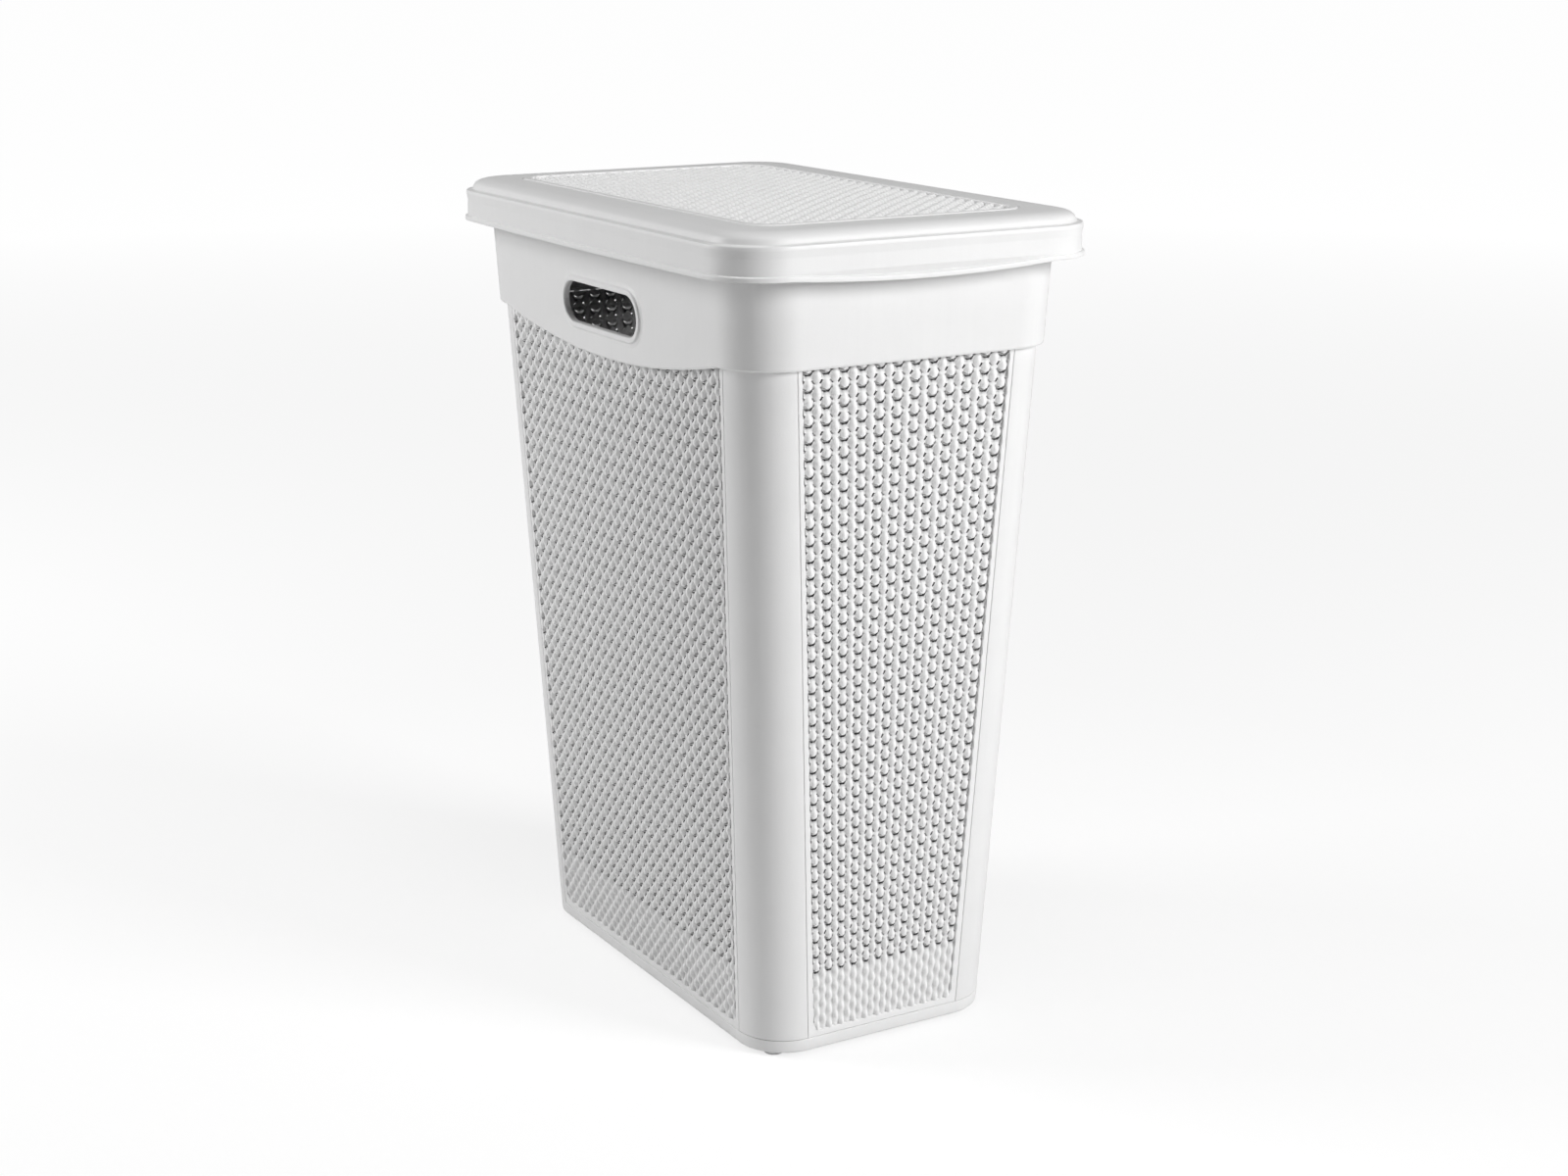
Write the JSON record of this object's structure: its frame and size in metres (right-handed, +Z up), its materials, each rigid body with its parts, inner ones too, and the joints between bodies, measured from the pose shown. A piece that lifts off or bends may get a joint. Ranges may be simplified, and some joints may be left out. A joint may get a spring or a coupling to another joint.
{
  "type": "laundry hamper",
  "caption": "Tall slim laundry hamper with tapered knit-pattern walls, a proud collar with hand holes and a rear-hinged lid with a finger lip.",
  "frame": {"origin": "on the floor under the middle of the hamper", "axes": "+X across the hamper's width, +Y through its depth from the lid's finger lip at the front (-Y) to the hinge at the rear (+Y), +Z up"},
  "size_m": [0.2978, 0.4578, 0.602],
  "materials": {
    "smooth_plastic": "satin white moulded polypropylene with a faint vertical draw grain",
    "knit_plastic": "satin white moulded polypropylene in an open knit pattern",
    "small_parts": "satin white moulded polypropylene, slightly greyer"
  },
  "bodies": {
    "tub": {"base": "smooth_plastic", "corner_post_front_left": "smooth_plastic", "corner_post_front_right": "smooth_plastic", "corner_post_rear_left": "smooth_plastic", "corner_post_rear_right": "smooth_plastic", "foot_front_left": "small_parts", "foot_front_right": "small_parts", "foot_rear_left": "small_parts", "foot_rear_right": "small_parts", "front_panel": "knit_plastic", "rear_panel": "knit_plastic", "left_panel": "knit_plastic", "right_panel": "knit_plastic", "collar": "smooth_plastic", "handle_bezel_left": "smooth_plastic", "handle_bezel_right": "smooth_plastic", "hinge_bracket_left": "small_parts", "hinge_bracket_right": "small_parts"},
    "lid": {"lid_frame": "smooth_plastic", "lid_panel": "knit_plastic", "lid_clip_left": "small_parts", "lid_clip_right": "small_parts"}
  },
  "joints": [
    {"name": "lid_hinge", "type": "hinge", "parent": "tub", "child": "lid", "pos_m": [0, 0.21929, 0.571], "axis": [-1, 0, 0], "range_deg": [0, 105]}
  ]
}
